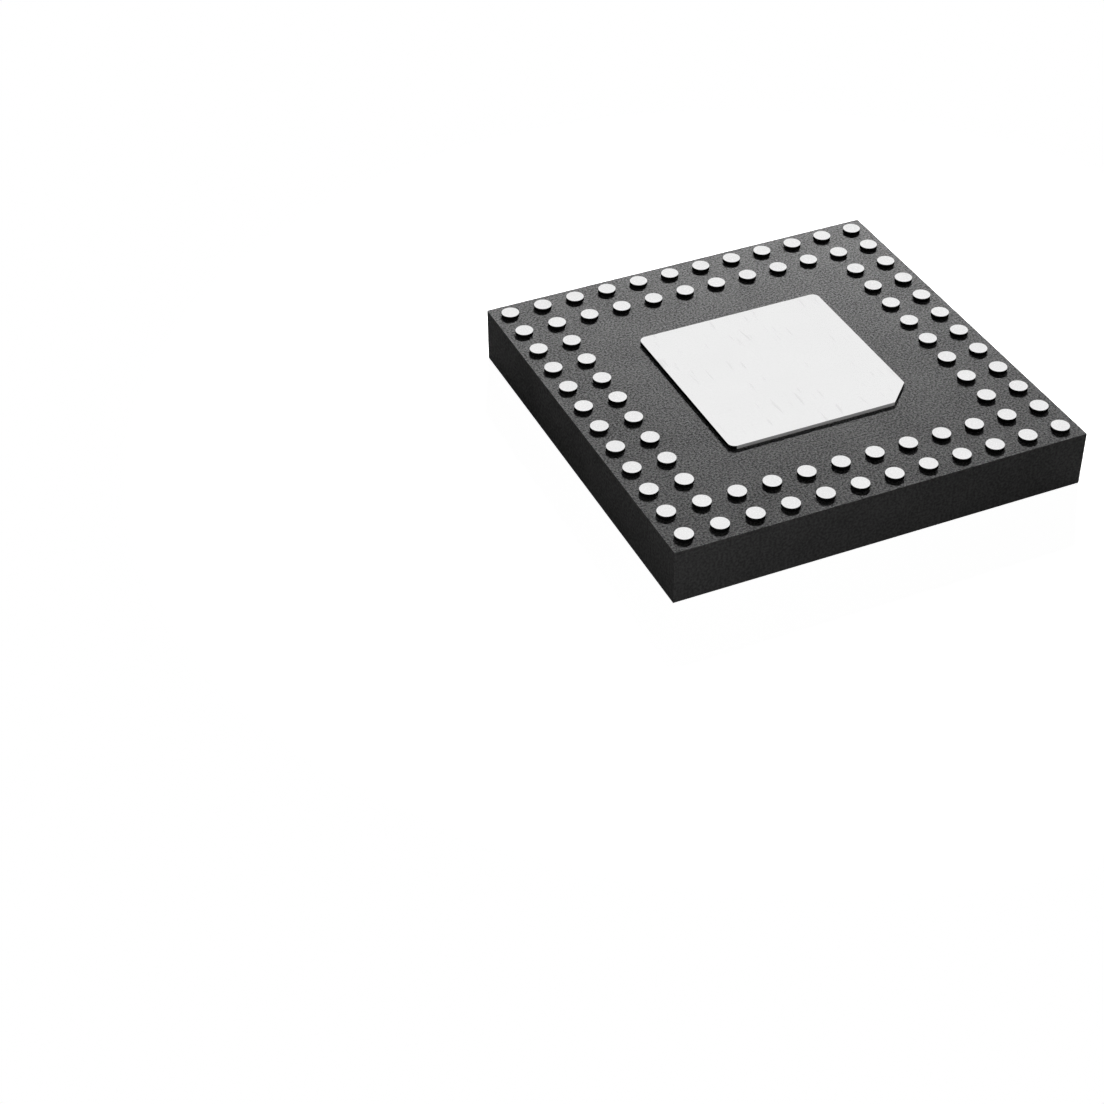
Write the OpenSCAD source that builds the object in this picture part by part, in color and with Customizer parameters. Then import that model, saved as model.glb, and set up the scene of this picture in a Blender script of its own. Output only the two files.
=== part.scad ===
// Clock buffer chip in a moulded 6 x 6 mm land grid package with two rings of round lands
// and a thermal pad. Millimetres. The part lies on its marked face with its lands upwards,
// as it lies in a tray turned over: X runs along the front side, Y away from it, Z up.
// The origin is the centre of the marked face.

/* [Moulding] */
// Length of each side of the moulding
body_side = 6.0; // [5.9:0.05:7.5]
// Thickness of the moulding, from the marked face to the face that the lands stand out of
body_height = 0.80; // [0.7:0.05:1.2]

/* [Copper frame] */
// Thickness of the etched copper that the lands and the paddle are made of
frame_thickness = 0.13; // [0.11:0.01:0.2]
// How far the lands and the thermal pad stand out of the moulding
standoff = 0.05; // [0.02:0.01:0.07]
// Thickness of the wider step that locks each copper piece in the moulding
lock_thickness = 0.04; // [0.02:0.005:0.06]

/* [Lands] */
// Lands along one side of the outer ring
lands_per_side = 12; // [10:1:12]
// Distance between the centres of neighbouring lands
land_pitch = 0.50; // [0.4:0.01:0.51]
// Diameter of a land's solder face
land_d = 0.25; // [0.2:0.01:0.3]
// How far a land's locking step reaches past its solder face
land_lock = 0.03; // [0.02:0.005:0.05]
// Radius of the rounded edge round a land's solder face
land_edge_r = 0.008; // [0.004:0.001:0.015]

/* [Thermal pad] */
// Length of each side of the thermal pad
pad_side = 2.80; // [2.7:0.05:3.2]
// Radius of its three plain corners
pad_corner_r = 0.10; // [0.05:0.01:0.3]
// Length that is cut off each side at the corner that marks land 1
pad_chamfer = 0.35; // [0.2:0.05:0.5]
// How far the paddle's locking step reaches past the thermal pad
pad_lock = 0.08; // [0.04:0.01:0.12]

/* [Die] */
// Length of each side of the silicon die
die_side = 2.40; // [2.2:0.05:2.5]
// Thickness of the die
die_thickness = 0.20; // [0.1:0.01:0.3]
// Thickness of the film that holds the die on the paddle
film_thickness = 0.02; // [0.01:0.005:0.04]

/* [Bond wires] */
// Diameter of a bond wire
wire_d = 0.020; // [0.015:0.001:0.03]
// Distance between neighbouring bonds along the edge of the die
bond_pitch = 0.10; // [0.07:0.005:0.11]
// Distance from the edge of the die to the centres of the bonds
bond_inset = 0.08; // [0.05:0.01:0.15]
// Diameter of the ball at a wire's end on the die
ball_d = 0.050; // [0.04:0.002:0.07]
// Height of that ball
ball_h = 0.016; // [0.01:0.002:0.03]
// Diameter of the flattened stitch at a wire's end on the copper
stitch_d = 0.060; // [0.045:0.005:0.09]
// How far the wires to the outer ring rise above the die
outer_loop = 0.14; // [0.12:0.01:0.2]
// How far the wires to the inner ring rise above the die
inner_loop = 0.09; // [0.06:0.01:0.11]
// How far the short wires to the paddle rise above the die
ground_loop = 0.06; // [0.04:0.01:0.08]
// How far a wire stays level past the edge of the die before it slopes down
edge_clearance = 0.04; // [0.02:0.01:0.08]

/* [Hidden] */
round_fn = 64;
wire_sides = 8;
FRONT = 0;
RIGHT = 1;
BACK = 2;
LEFT = 3;
SIDES = [FRONT, RIGHT, BACK, LEFT];

// Heights above the marked face
solder_z = body_height + standoff;
frame_z = solder_z - frame_thickness;
film_z = frame_z - film_thickness;
die_z = film_z - die_thickness;

// Lands are counted from the left along the front side: each side has all but its last
// corner in the outer ring and all but its last corner in the inner ring
first_outer = 0;
last_outer = lands_per_side - 2;
first_inner = 1;
last_inner = lands_per_side - 3;
outer_y = -(lands_per_side - 1) / 2 * land_pitch;
inner_y = outer_y + land_pitch;

// Bonds on the die
bond_y = bond_inset - die_side / 2;
loop_run = bond_inset + edge_clearance;
// Half the paddle's width with its locking step, and the middle of its free rim
paddle_half = pad_side / 2 + pad_lock;
ground_y = -(die_side / 2 + paddle_half) / 2;
// From a wire's middle to its flat sides, which is how far a run starts back in the one before
// it, so that their bend has a full corner
wire_flat = wire_d / 2 * cos(180 / wire_sides);

black = [0.13, 0.13, 0.13];
plating = [0.88, 0.88, 0.88];
gold = [0.87, 0.68, 0.32];
adhesive = [0.62, 0.62, 0.60];
silicon = [0.36, 0.37, 0.42];

// Where things are along a side

function land_x(i) = (i - (lands_per_side - 1) / 2) * land_pitch;

function bond_x(slot) = (slot - last_outer) * bond_pitch;

// A column's outer land has the even bond slot and its inner land the slot beside that,
// away from the middle, so that no wire crosses another. At the corner the two swap.
function outer_slot(i) = i == first_outer ? 1 : 2 * i;

function inner_slot(i) = i == first_inner ? 0 : i < lands_per_side / 2 ? 2 * i - 1 : 2 * i + 1;

// That leaves one slot free in the middle of the side, which the ground wire takes
ground_slot = 2 * floor((lands_per_side - 1) / 2) + 1;

module on_side(side) {
    rotate([0, 0, 90 * side]) children();
}

// Copper

// One etched land: a round solder face with a softened edge, on a wider locking step
module land() {
    face_r = land_d / 2;
    step_r = face_r + land_lock;
    translate([0, 0, frame_z]) {
        cylinder(h = lock_thickness, r = step_r, $fn = round_fn);
        rotate_extrude($fn = round_fn) difference() {
            square([face_r, frame_thickness]);
            translate([face_r - land_edge_r, frame_thickness - land_edge_r]) difference() {
                square(2 * land_edge_r);
                circle(r = land_edge_r, $fn = round_fn);
            }
        }
    }
}

module outer_lands(side) {
    color(plating)
    on_side(side)
    for (i = [first_outer : last_outer]) translate([land_x(i), outer_y, 0]) land();
}

module inner_lands(side) {
    color(plating)
    on_side(side)
    for (i = [first_inner : last_inner]) translate([land_x(i), inner_y, 0]) land();
}

// The thermal pad's outline, with its corner at the front right cut off. grow moves it outwards.
module pad_outline(grow) {
    half = pad_side / 2 + grow;
    r = pad_corner_r + grow;
    cut = pad_chamfer + grow * (2 - sqrt(2));
    difference() {
        union() {
            square([2 * half, 2 * (half - r)], center = true);
            square([2 * (half - r), 2 * half], center = true);
            for (x = [-1, 1], y = [-1, 1]) translate([x, y] * (half - r)) circle(r, $fn = round_fn);
        }
        translate([half, -half]) rotate(45) square([2 * cut, sqrt(2) * cut], center = true);
    }
}

// The die paddle: the thermal pad is its outer face, and a wider step locks it in the moulding
module thermal_paddle() {
    color(plating) translate([0, 0, frame_z]) {
        linear_extrude(frame_thickness) pad_outline(0);
        linear_extrude(lock_thickness) pad_outline(pad_lock);
    }
}

// Die

module die_attach_film() {
    color(adhesive)
    translate([-die_side / 2, -die_side / 2, film_z]) cube([die_side, die_side, film_thickness]);
}

module silicon_die() {
    color(silicon)
    translate([-die_side / 2, -die_side / 2, die_z]) cube([die_side, die_side, die_thickness]);
}

// Bond wires

// A straight run of wire in the XZ plane, from one point to another
module wire_run(from, to) {
    run = to - from;
    translate([from.x, 0, from.y])
    rotate([0, atan2(run.x, run.y), 0])
    translate([0, 0, -wire_flat])
    rotate(180 / wire_sides)
    cylinder(h = norm(run) + wire_flat, d = wire_d, $fn = wire_sides);
}

// One bond wire: a ball on the die, a neck, a level run past the die's edge, and a slope to its
// stitch on the copper. The plan points bond and stitch are its two ends.
module bond_wire(bond, stitch, loop) {
    span = stitch - bond;
    reach = norm(span);
    top_z = die_z - loop;
    translate([bond.x, bond.y, 0]) rotate(atan2(span.y, span.x)) {
        translate([0, 0, die_z - ball_h]) cylinder(h = ball_h, d = ball_d, $fn = round_fn);
        wire_run([0, die_z - ball_h], [0, top_z]);
        wire_run([0, top_z], [loop_run, top_z]);
        wire_run([loop_run, top_z], [reach, frame_z - wire_d / 2]);
        translate([reach, 0, frame_z - wire_d]) cylinder(h = wire_d, d = stitch_d, $fn = round_fn);
    }
}

module outer_wires(side) {
    color(gold)
    on_side(side)
    for (i = [first_outer : last_outer])
        bond_wire([bond_x(outer_slot(i)), bond_y], [land_x(i), outer_y], outer_loop);
}

module inner_wires(side) {
    color(gold)
    on_side(side)
    for (i = [first_inner : last_inner])
        bond_wire([bond_x(inner_slot(i)), bond_y], [land_x(i), inner_y], inner_loop);
}

// One wire on each side ties the die's ground to the paddle's rim
module ground_wires() {
    x = bond_x(ground_slot);
    color(gold)
    for (side = SIDES) on_side(side) bond_wire([x, bond_y], [x, ground_y], ground_loop);
}

// Moulding

// Black moulding with sawn sides, moulded round everything above
module mould_body() {
    color(black) difference() {
        translate([-body_side / 2, -body_side / 2, 0]) cube([body_side, body_side, body_height]);
        thermal_paddle();
        die_attach_film();
        silicon_die();
        for (side = SIDES) {
            outer_lands(side);
            inner_lands(side);
            outer_wires(side);
            inner_wires(side);
        }
        ground_wires();
    }
}

mould_body();
thermal_paddle();
die_attach_film();
silicon_die();
outer_lands(FRONT);  // outer_lands_front
outer_lands(RIGHT);  // outer_lands_right
outer_lands(BACK);  // outer_lands_back
outer_lands(LEFT);  // outer_lands_left
inner_lands(FRONT);  // inner_lands_front
inner_lands(RIGHT);  // inner_lands_right
inner_lands(BACK);  // inner_lands_back
inner_lands(LEFT);  // inner_lands_left
outer_wires(FRONT);  // outer_wires_front
outer_wires(RIGHT);  // outer_wires_right
outer_wires(BACK);  // outer_wires_back
outer_wires(LEFT);  // outer_wires_left
inner_wires(FRONT);  // inner_wires_front
inner_wires(RIGHT);  // inner_wires_right
inner_wires(BACK);  // inner_wires_back
inner_wires(LEFT);  // inner_wires_left
ground_wires();
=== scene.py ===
# Clock buffer chip: looks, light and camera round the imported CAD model
# Values are in millimetres and degrees, and meshes are in metres
import math

import bmesh
import bpy
from mathutils import Matrix, Vector


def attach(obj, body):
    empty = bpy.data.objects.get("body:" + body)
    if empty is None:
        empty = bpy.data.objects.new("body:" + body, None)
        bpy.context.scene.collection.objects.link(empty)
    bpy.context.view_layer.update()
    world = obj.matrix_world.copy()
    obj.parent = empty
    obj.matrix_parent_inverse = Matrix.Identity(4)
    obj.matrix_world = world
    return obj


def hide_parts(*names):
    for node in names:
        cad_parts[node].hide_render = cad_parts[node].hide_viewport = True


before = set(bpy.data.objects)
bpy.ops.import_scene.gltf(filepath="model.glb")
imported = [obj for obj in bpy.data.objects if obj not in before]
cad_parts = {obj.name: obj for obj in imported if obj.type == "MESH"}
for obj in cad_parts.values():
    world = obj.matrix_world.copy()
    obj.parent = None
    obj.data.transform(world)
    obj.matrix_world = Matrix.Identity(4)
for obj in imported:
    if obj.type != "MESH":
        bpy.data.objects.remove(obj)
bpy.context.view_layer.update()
print("frame loaded:", len(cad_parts), "nodes")

mm = 0.001
slack = 0.001  # heights this near count as the same
sides = ["front", "right", "back", "left"]  # each is turned a quarter from the one before

package = {
    "frameHeight": 0.72,  # the underside of the copper frame
    "lockHeight": 0.76,  # the top of its locking steps
    "faceHeight": 0.80,  # the face that the lands stand out of
    "solderHeight": 0.85,  # the plane of the lands' faces
}


# Shader maths

class Signal:  # a socket that can be used in sums
    def __init__(self, tree, socket):
        self.tree = tree
        self.socket = socket

    def maths(self, operation, first, second):
        made = self.tree.nodes.new("ShaderNodeMath")
        made.operation = operation
        feed(self.tree, made.inputs[0], first)
        feed(self.tree, made.inputs[1], second)
        return Signal(self.tree, made.outputs[0])

    def __add__(self, other):
        return self.maths("ADD", self, other)

    def __radd__(self, other):
        return self.maths("ADD", other, self)

    def __sub__(self, other):
        return self.maths("SUBTRACT", self, other)

    def __rsub__(self, other):
        return self.maths("SUBTRACT", other, self)

    def __mul__(self, other):
        return self.maths("MULTIPLY", self, other)

    def __rmul__(self, other):
        return self.maths("MULTIPLY", other, self)

    def __gt__(self, other):
        return self.maths("GREATER_THAN", self, other)

    def __lt__(self, other):
        return self.maths("LESS_THAN", self, other)


def feed(tree, socket, item):
    if isinstance(item, Signal):
        tree.links.new(item.socket, socket)
    else:
        socket.default_value = item


class Finish:  # a node tree to which the methods add nodes
    def __init__(self, tree):
        self.tree = tree
        self.tree.nodes.clear()

    def node(self, kind, settings, sockets, output=0):
        made = self.tree.nodes.new(kind)
        for name, value in settings.items():
            setattr(made, name, value)
        for name, item in sockets.items():
            feed(self.tree, made.inputs[name], item)
        return Signal(self.tree, made.outputs[output]) if made.outputs else made

    def place(self):  # the place on the part, in millimetres
        metres = self.node("ShaderNodeTexCoord", {}, {}, "Object")
        return self.node("ShaderNodeVectorMath", {"operation": "SCALE"}, {0: metres, "Scale": 1 / mm})

    def along(self, place, axis):
        return self.node("ShaderNodeSeparateXYZ", {}, {0: place}, axis)

    def noise(self, place, perMm, detail=2.0, roughness=0.5):
        sockets = {"Vector": place, "Scale": perMm, "Detail": detail, "Roughness": roughness}
        return self.node("ShaderNodeTexNoise", {}, sockets)

    def fineGrain(self, place, perMm):
        return self.noise(place, perMm, detail=3.0, roughness=0.6)

    def streaks(self, place, perMm, detail):  # noise with a scale of its own along each axis
        stretched = self.node("ShaderNodeVectorMath", {"operation": "MULTIPLY"}, {0: place, 1: perMm})
        return self.noise(stretched, 1.0, detail)

    def ramp(self, value, limits):  # 0 below the first limit, 1 above the second, smooth between
        low, high = limits
        sockets = {0: value, 1: low, 2: high, 3: 0.0, 4: 1.0}
        return self.node("ShaderNodeMapRange", {"interpolation_type": "SMOOTHSTEP"}, sockets)

    def varied(self, middle, spread, pattern):  # a value that the pattern moves up and down
        return middle + spread * (pattern - 0.5)

    def blend(self, factor, first, second):
        return self.node("ShaderNodeMix", {"data_type": "RGBA"}, {0: factor, 6: first, 7: second}, 2)

    def bump(self, height):  # the height is in millimetres
        return self.node("ShaderNodeBump", {}, {"Height": height, "Distance": mm, "Strength": 1.0})

    def principled(self, sockets):
        return self.node("ShaderNodeBsdfPrincipled", {}, sockets)

    def surface(self, shader):
        self.node("ShaderNodeOutputMaterial", {}, {"Surface": shader})


def newMaterial(name):
    material = bpy.data.materials.new(name)
    material.use_nodes = True
    return material, Finish(material.node_tree)


def grey(level):
    return (level, level, level, 1.0)


# Moulding

mould = {
    "faceDark": 0.034,
    "faceLight": 0.218,
    "faceRange": (0.37, 0.63),  # the noise over which the tone goes from dark to light
    "faceRoughness": 0.40,
    "faceRoughnessSpread": 0.12,
    "faceSpecular": 0.03,
    "sideDark": 0.068,
    "sideLight": 0.124,
    "sideRange": (0.35, 0.65),
    "sideRoughness": 0.80,
    "sideSpecular": 0.0,
    "grainPerMm": 35.0,
    "grainDetail": 4.0,
    "grainHarshness": 0.75,
    "grainDepth": 0.010,
    "mottlePerMm": 1.6,
    "mottleOnFace": 0.07,  # the mottle's share of the tone
    "mottleOnSides": 0.15,
    "fillerPerMm": 59.5,
    "fillerRange": (0.68, 0.76),
    "fillerTone": 0.9,
    "fillerShare": 0.05,  # how far a speck of filler goes to its own tone
    "sawnPerMm": 28.0,
    "sawnUpwardsPerMm": 5.0,  # fewer, because the saw marks run up the sides
    "sawOnSides": 0.15,
    "sawDepth": 0.0015,
}


def mouldMaterial(v):
    material, f = newMaterial("moulding compound")
    place = f.place()
    height = f.along(place, "Z")
    onFace = (height > package["faceHeight"] - slack) + (height < slack)  # 0 on the sawn sides
    grain = f.noise(place, v["grainPerMm"], v["grainDetail"], v["grainHarshness"])
    mottle = f.noise(place, v["mottlePerMm"])
    specks = f.ramp(f.noise(place, v["fillerPerMm"], detail=0.0), v["fillerRange"])
    saw = f.streaks(place, (v["sawnPerMm"], v["sawnPerMm"], v["sawnUpwardsPerMm"]), detail=1.0)
    sawnGrain = f.noise(place, v["sawnPerMm"])
    sawnShare = 1 - v["sawOnSides"] - v["mottleOnSides"]
    faceTone = (1 - v["mottleOnFace"]) * grain + v["mottleOnFace"] * mottle
    sideTone = v["sawOnSides"] * saw + sawnShare * sawnGrain + v["mottleOnSides"] * mottle
    faceColour = f.blend(f.ramp(faceTone, v["faceRange"]), grey(v["faceDark"]), grey(v["faceLight"]))
    sideColour = f.blend(f.ramp(sideTone, v["sideRange"]), grey(v["sideDark"]), grey(v["sideLight"]))
    colour = f.blend(onFace, sideColour, faceColour)
    colour = f.blend(v["fillerShare"] * specks * onFace, colour, grey(v["fillerTone"]))
    normal = f.bump(v["grainDepth"] * grain * onFace + v["sawDepth"] * saw * (1.0 - onFace))
    moulded = f.principled({
        "Base Color": colour,
        "Roughness": f.varied(v["faceRoughness"], v["faceRoughnessSpread"], grain),
        "Specular IOR Level": v["faceSpecular"],
        "Normal": normal,
    })
    sawn = f.principled({
        "Base Color": colour,
        "Roughness": v["sideRoughness"],
        "Specular IOR Level": v["sideSpecular"],
        "Normal": normal,
    })
    f.surface(f.node("ShaderNodeMixShader", {}, {0: onFace, 1: sawn, 2: moulded}))
    return material


# Plated copper, and the flanks' painted light and shade

landPlating = {
    "dark": 0.80,
    "light": 0.87,
    "toneRange": (0.30, 0.70),
    "grainPerMm": 45.0,
    "grainDepth": 0.0006,
    "cloudPerMm": 1.3,
    "cloud": 0.4,  # the share of the slow change of tone
    "roughness": 0.26,
    "roughnessSpread": 0.10,
}

padPlating = {
    "dark": 0.83,
    "light": 0.86,
    "toneRange": (0.30, 0.70),
    "grainPerMm": 45.0,
    "grainDepth": 0.0003,
    "cloudPerMm": 1.3,
    "cloud": 0.3,
    "roughness": 0.24,
    "roughnessSpread": 0.10,
}

hairlines = {
    "perMm": (20.0, 2.0, 1.0),  # many across their run and few along it
    "lineRange": (0.63, 0.73),
    "patchPerMm": 1.8,
    "patchRange": (0.38, 0.52),  # the lines show in patches
    "tone": 0.25,
    "shade": 0.12,  # how far a line goes to that tone
    "roughness": 0.08,  # how much rougher it is
    "depth": 0.0008,
}

# near-black flank finish: painted shade, standing in for the shadow on the flanks of the lands and
# the pad
etched = {
    "dark": 0.004,
    "light": 0.010,
    "specular": 0.0,
    "roughness": 0.75,
    "roughnessSpread": 0.20,
    "grainPerMm": 30.0,
    "grainDepth": 0.002,
}

# lighter metal finish for the pad's front flank only: painted light, while its other flanks stay
# near-black
litFrontFlank = {
    "dark": 0.40,
    "light": 0.54,
    "roughness": 0.80,
    "roughnessSpread": 0.20,
    "linesPerMm": (40.0, 40.0, 6.0),  # the lines run up the flank
    "lineDepth": 0.0015,
}


def platedMaterial(name, v, lines=None):
    material, f = newMaterial(name)
    place = f.place()
    grain = f.fineGrain(place, v["grainPerMm"])
    cloud = f.noise(place, v["cloudPerMm"])
    tone = f.ramp((1 - v["cloud"]) * grain + v["cloud"] * cloud, v["toneRange"])
    colour = f.blend(tone, grey(v["dark"]), grey(v["light"]))
    relief = v["grainDepth"] * grain
    roughness = f.varied(v["roughness"], v["roughnessSpread"], grain)
    if lines:
        strokes = f.ramp(f.streaks(place, lines["perMm"], detail=1.0), lines["lineRange"])
        patches = f.ramp(f.noise(place, lines["patchPerMm"], detail=1.0), lines["patchRange"])
        scratch = strokes * patches
        colour = f.blend(lines["shade"] * scratch, colour, grey(lines["tone"]))
        relief = relief - lines["depth"] * scratch
        roughness = roughness + lines["roughness"] * scratch
    f.surface(f.principled({
        "Base Color": colour,
        "Metallic": 1.0,
        "Roughness": roughness,
        "Normal": f.bump(relief),
    }))
    return material


# the flank's near-black colour is painted shade
def etchedMaterial(v):
    material, f = newMaterial("etched copper flank")
    grain = f.fineGrain(f.place(), v["grainPerMm"])
    f.surface(f.principled({
        "Base Color": f.blend(grain, grey(v["dark"]), grey(v["light"])),
        "Roughness": f.varied(v["roughness"], v["roughnessSpread"], grain),
        "Specular IOR Level": v["specular"],
        "Normal": f.bump(v["grainDepth"] * grain),
    }))
    return material


# the front flank's lighter colour is painted light
def litFrontFlankMaterial(v):
    material, f = newMaterial("front flank lighter as painted light")
    lines = f.streaks(f.place(), v["linesPerMm"], detail=3.0)
    f.surface(f.principled({
        "Base Color": f.blend(lines, grey(v["dark"]), grey(v["light"])),
        "Metallic": 1.0,
        "Roughness": f.varied(v["roughness"], v["roughnessSpread"], lines),
        "Normal": f.bump(v["lineDepth"] * lines),
    }))
    return material


# Inside the moulding

silicon = {
    "dark": (0.20, 0.21, 0.25, 1.0),
    "light": (0.27, 0.28, 0.33, 1.0),
    "grainPerMm": 6.0,
    "metallic": 0.0,
    "roughness": 0.22,
}

film = {
    "dark": (0.42, 0.42, 0.40, 1.0),
    "light": (0.74, 0.74, 0.72, 1.0),
    "grainPerMm": 60.0,
    "metallic": 0.0,
    "roughness": 0.55,
}

goldWire = {
    "dark": (0.74, 0.52, 0.20, 1.0),
    "light": (0.90, 0.72, 0.36, 1.0),
    "grainPerMm": 30.0,
    "metallic": 1.0,
    "roughness": 0.25,
}

insideGrain = {
    "toneRange": (0.35, 0.65),
    "roughnessSpread": 0.15,
    "depth": 0.0008,
}


def insideMaterial(name, v):
    material, f = newMaterial(name)
    grain = f.fineGrain(f.place(), v["grainPerMm"])
    f.surface(f.principled({
        "Base Color": f.blend(f.ramp(grain, insideGrain["toneRange"]), v["dark"], v["light"]),
        "Metallic": v["metallic"],
        "Roughness": f.varied(v["roughness"], insideGrain["roughnessSpread"], grain),
        "Normal": f.bump(insideGrain["depth"] * grain),
    }))
    return material


finishes = {
    "mould": mouldMaterial(mould),
    "land": platedMaterial("plated land face", landPlating),
    "pad": platedMaterial("plated pad face", padPlating, hairlines),
    # the first flank finish below is painted shade, the second painted light
    "etched": etchedMaterial(etched),
    "litFrontFlank": litFrontFlankMaterial(litFrontFlank),
    "silicon": insideMaterial("silicon", silicon),
    "film": insideMaterial("silver-filled film", film),
    "wire": insideMaterial("gold wire", goldWire),
}
print("materials made:", len(finishes))


# Meshes

sharpAngle = 35.0  # edges sharper than this shade as sharp

rims = {  # of the lands and the pad
    "radius": 0.003,
    "segments": 4,
    "ringWidth": 0.0048,  # a ring of flat faces inside the rim, which keeps its shading off the top
    "platedTilt": 0.6,  # the plating ends where the height of the rim's normal is under this
}


def roundedRim(form, rim):
    bmesh.ops.bevel(form, geom=rim, affect="EDGES", offset=rims["radius"],
                    segments=rims["segments"], profile=0.5, material=-1)


def isPlated(face):  # the flat top and the upper part of its rim
    nearTop = face.calc_center_median().z > package["solderHeight"] - rims["radius"]
    return nearTop and abs(face.normal.z) > rims["platedTilt"]


def finishedPiece(name, form, materials):  # from a form in millimetres
    bmesh.ops.recalc_face_normals(form, faces=form.faces)
    bmesh.ops.transform(form, matrix=Matrix.Scale(mm, 4), verts=form.verts)
    mesh = bpy.data.meshes.new(name)
    form.to_mesh(mesh)
    form.free()
    for material in materials:
        mesh.materials.append(material)
    mesh.set_sharp_from_angle(angle=math.radians(sharpAngle))
    piece = bpy.data.objects.new(name, mesh)
    bpy.context.scene.collection.objects.link(piece)
    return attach(piece, "root")


# Round lands

lands = {
    "perSide": 12,
    "pitch": 0.50,
    "diameter": 0.25,
    "lock": 0.03,  # how far the locking step reaches past the face
    "undercut": 0.003,  # how far the flank curves in
    "flankParts": 4,  # the flank's faces from its foot to its top
    "segments": 56,
    "samePoint": 0.00001,  # points this near are one
}


def landForm(v):
    radius = v["diameter"] / 2
    lockRadius = radius + v["lock"]
    low = package["frameHeight"]
    lock = package["lockHeight"]
    foot = package["faceHeight"]
    top = package["solderHeight"]
    section = [(0, low), (lockRadius, low), (lockRadius, lock), (radius, lock), (radius, foot)]
    for part in range(1, v["flankParts"]):
        share = part / v["flankParts"]
        inwards = v["undercut"] * math.sin(math.pi * share)
        section.append((radius - inwards, foot + share * (top - foot)))
    section += [(radius, top), (radius - rims["ringWidth"], top), (0, top)]
    form = bmesh.new()
    points = [form.verts.new((x, 0, z)) for x, z in section]
    line = [form.edges.new(pair) for pair in zip(points, points[1:])]
    bmesh.ops.spin(form, geom=points + line, cent=(0, 0, 0), axis=(0, 0, 1), angle=2 * math.pi,
                   steps=v["segments"], use_merge=True)
    bmesh.ops.remove_doubles(form, verts=form.verts, dist=v["samePoint"])
    onRim = [p for p in form.verts
             if abs(p.co.z - top) < v["samePoint"] and abs(p.co.xy.length - radius) < v["samePoint"]]
    roundedRim(form, [e for e in form.edges if all(p in onRim for p in e.verts)])
    for face in form.faces:
        face.smooth = True
        face.material_index = 0 if isPlated(face) else 1  # plated, or the near-black flank finish that is painted shade
    return form


def landCentres(v, ring):  # along the front side, from the left: all but the last corner
    first = -(v["perSide"] - 1) / 2 + ring
    count = v["perSide"] - 1 - 2 * ring
    return [(v["pitch"] * (first + i), v["pitch"] * first) for i in range(count)]


def landRow(name, ring, turn, land):
    row = bmesh.new()
    for x, y in landCentres(lands, ring):
        done = len(row.verts)
        row.from_mesh(land)
        row.verts.ensure_lookup_table()
        bmesh.ops.translate(row, verts=row.verts[done:], vec=(x, y, 0))
    bmesh.ops.rotate(row, verts=row.verts, cent=(0, 0, 0), matrix=Matrix.Rotation(turn, 3, "Z"))
    return finishedPiece(name, row, [finishes["land"], finishes["etched"]])


oneLand = bpy.data.meshes.new("one land")
form = landForm(lands)
form.to_mesh(oneLand)
form.free()
for ring, ringName in enumerate(["outer", "inner"]):
    for quarter, side in enumerate(sides):
        row = landRow(f"plated_{ringName}_lands_{side}", ring, math.radians(90 * quarter), oneLand)
        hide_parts(f"{ringName}_lands_{side}")
bpy.data.meshes.remove(oneLand)
print("lands made")


# Thermal pad

pad = {
    "side": 2.80,
    "cornerRadius": 0.10,
    "cornerSegments": 14,
    "chamfer": 0.35,
    "lock": 0.08,
    "litFlankFacing": -0.99,  # the flank whose normal's y is under this, the one facing the front, gets the lighter finish as painted light
}


def raisedTop(form, faces, height):
    made = bmesh.ops.extrude_face_region(form, geom=faces)["geom"]
    points = [p for p in made if isinstance(p, bmesh.types.BMVert)]
    bmesh.ops.translate(form, verts=points, vec=(0, 0, height))
    return [p for p in made if isinstance(p, bmesh.types.BMFace)]


def padForm(v):
    half = v["side"] / 2 + v["lock"]
    lockChamfer = v["chamfer"] + v["lock"] * (2 - math.sqrt(2))  # the lock stays as wide there
    form = bmesh.new()
    bmesh.ops.create_grid(form, x_segments=1, y_segments=1, size=half)
    bmesh.ops.translate(form, verts=form.verts, vec=(0, 0, package["frameHeight"]))
    cut = [p for p in form.verts if p.co.x > 0 and p.co.y < 0]
    rest = [p for p in form.verts if p not in cut]
    bmesh.ops.bevel(form, geom=cut, affect="VERTICES", offset=lockChamfer,
                    segments=1, profile=0.5, material=-1)
    bmesh.ops.bevel(form, geom=rest, affect="VERTICES", offset=v["cornerRadius"] + v["lock"],
                    segments=v["cornerSegments"], profile=0.5, material=-1)
    lock = raisedTop(form, form.faces[:], package["lockHeight"] - package["frameHeight"])
    bmesh.ops.inset_region(form, faces=lock, thickness=v["lock"], use_even_offset=True)
    top = raisedTop(form, lock, package["solderHeight"] - package["lockHeight"])
    bmesh.ops.delete(form, geom=lock, context="FACES")
    rim = list(top[0].edges)
    bmesh.ops.inset_region(form, faces=top, thickness=rims["ringWidth"], use_even_offset=True)
    roundedRim(form, rim)
    bmesh.ops.recalc_face_normals(form, faces=form.faces)
    for face in form.faces:
        face.smooth = True
        overLock = face.calc_center_median().z > package["lockHeight"] + slack
        if isPlated(face):
            face.material_index = 0  # plated
        # the front flank gets the lighter finish as painted light, the rest of the flank the
        # near-black one as painted shade
        elif overLock and face.normal.y < v["litFlankFacing"]:
            face.material_index = 2  # the lighter front flank, painted light
        else:
            face.material_index = 1  # the near-black flank finish, painted shade
    return form


padFinishes = [finishes["pad"], finishes["etched"], finishes["litFrontFlank"]]
padPiece = finishedPiece("plated_thermal_pad", padForm(pad), padFinishes)
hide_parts("thermal_paddle")
print("thermal pad made")


# The CAD nodes' finishes

nodeFinishes = {"mould_body": "mould", "silicon_die": "silicon", "die_attach_film": "film"}

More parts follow.
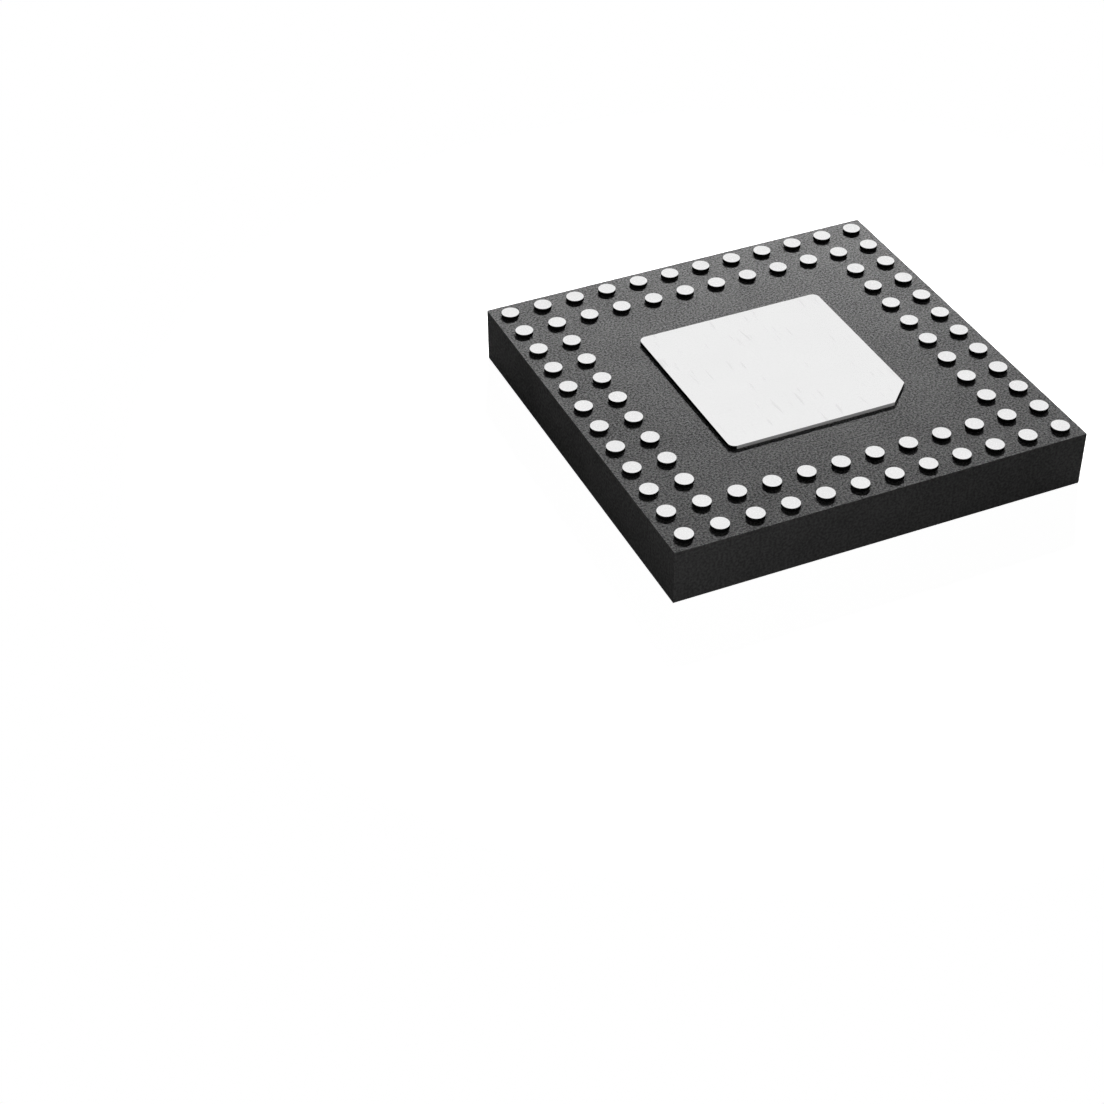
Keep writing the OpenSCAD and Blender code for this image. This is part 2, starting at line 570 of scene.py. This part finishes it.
for name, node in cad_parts.items():
    # the other CAD nodes get the near-black flank finish, which is painted shade
    finish = "wire" if "wires" in name else nodeFinishes.get(name, "etched")
    node.data.materials.clear()
    node.data.materials.append(finishes[finish])
print("CAD nodes dressed")


# Floor and world

studio = {
    "floorSide": 900.0,
    "floorDrop": 0.002,  # keeps the floor off the part's underside
    "fadeFrom": 6.3,  # where the shadow starts to fade out
    "shadowRadius": 9.0,  # past this the floor is plain white
    "openLight": 0.978,  # the floor's own white where the shadow may show
    "shadowTone": 0.6,  # the grey that the lamps light there
    "bounce": 0.28,  # the grey that the part sees of the floor
    "dome": 0.008,  # the world's light on the part
}


def seesBackground(f):  # camera, glossy and transmission rays
    rays = {name: f.node("ShaderNodeLightPath", {}, {}, name)
            for name in ("Is Camera Ray", "Is Glossy Ray", "Is Transmission Ray")}
    return rays["Is Camera Ray"] + rays["Is Glossy Ray"] + rays["Is Transmission Ray"]


def floorMaterial(v):
    material, f = newMaterial("white floor")
    reach = f.node("ShaderNodeVectorMath", {"operation": "LENGTH"}, {0: f.place()}, "Value")
    fade = f.ramp(reach, (v["fadeFrom"], v["shadowRadius"]))
    plain = f.node("ShaderNodeEmission", {}, {"Color": grey(1.0), "Strength": 1.0})
    glow = f.node("ShaderNodeEmission", {}, {"Color": grey(1.0), "Strength": v["openLight"]})
    lit = f.node("ShaderNodeBsdfDiffuse", {}, {"Color": grey(v["shadowTone"])})
    shadowed = f.node("ShaderNodeAddShader", {}, {0: glow, 1: lit})
    shown = f.node("ShaderNodeMixShader", {}, {0: fade, 1: shadowed, 2: plain})
    bounced = f.node("ShaderNodeBsdfDiffuse", {}, {"Color": grey(v["bounce"])})
    f.surface(f.node("ShaderNodeMixShader", {}, {0: seesBackground(f), 1: bounced, 2: shown}))
    return material


def makeFloor(v):
    form = bmesh.new()
    bmesh.ops.create_grid(form, x_segments=1, y_segments=1, size=v["floorSide"] / 2 * mm)
    bmesh.ops.translate(form, verts=form.verts, vec=(0, 0, -v["floorDrop"] * mm))
    mesh = bpy.data.meshes.new("floor")
    form.to_mesh(mesh)
    form.free()
    mesh.materials.append(floorMaterial(v))
    floor = bpy.data.objects.new("floor", mesh)
    bpy.context.scene.collection.objects.link(floor)
    return floor


def makeWorld(v):
    world = bpy.data.worlds.new("studio")
    world.use_nodes = True
    f = Finish(world.node_tree)
    dome = f.node("ShaderNodeBackground", {}, {"Color": grey(1.0), "Strength": v["dome"]})
    white = f.node("ShaderNodeBackground", {}, {"Color": grey(1.0), "Strength": 1.0})
    shader = f.node("ShaderNodeMixShader", {}, {0: seesBackground(f), 1: dome, 2: white})
    f.node("ShaderNodeOutputWorld", {}, {"Surface": shader})
    bpy.context.scene.world = world


makeFloor(studio)
makeWorld(studio)


# Lamps and camera

lamps = {
    "key": {  # the part lies in the edge of its beam, so its light falls off towards the camera
        "at": (30.1, 51.8, 25.3),
        "aim": (11.8, 22.2, 0.0),
        "cone": 25.2,
        "radius": 12.6,
        "level": 13.75,  # in the middle of the beam
    },
    "fill": {
        "at": (-13.8, -19.1, 1.7),
        "aim": (0.0, 0.0, 0.0),
        "cone": 60.0,
        "radius": 1.4,
        "level": 0.165,
    },
}

camera = {
    "at": (-12.9072, -22.1517, 18.2228),
    "turn": (51.0598, 0.5315, -23.7849),
    "lens": 73.646,
    "sensor": 36.0,
    "nearest": 0.5,  # the least and the greatest distance that it shows
    "furthest": 10000.0,
}


def makeLamp(name, v):
    data = bpy.data.lights.new(name, "SPOT")
    data.spot_size = math.radians(v["cone"])
    data.spot_blend = 1.0
    data.shadow_soft_size = v["radius"] * mm
    distance = Vector(v["at"]).length * mm
    data.energy = 4 * v["level"] * math.pi ** 2 * distance ** 2  # at level 1, white shows as white
    lamp = bpy.data.objects.new(name, data)
    lamp.location = Vector(v["at"]) * mm
    lamp.rotation_euler = (Vector(v["aim"]) - Vector(v["at"])).to_track_quat("-Z", "Y").to_euler()
    lamp.visible_glossy = False
    bpy.context.scene.collection.objects.link(lamp)


def makeCamera(v):
    data = bpy.data.cameras.new("camera")
    data.lens = v["lens"]
    data.sensor_width = v["sensor"]
    data.clip_start = v["nearest"] * mm
    data.clip_end = v["furthest"] * mm
    seenFrom = bpy.data.objects.new("camera", data)
    seenFrom.location = Vector(v["at"]) * mm
    seenFrom.rotation_euler = [math.radians(angle) for angle in v["turn"]]
    bpy.context.scene.collection.objects.link(seenFrom)
    bpy.context.scene.camera = seenFrom


for name, values in lamps.items():
    makeLamp(name, values)
makeCamera(camera)
bpy.context.scene.view_settings.view_transform = "Standard"
print("studio made")
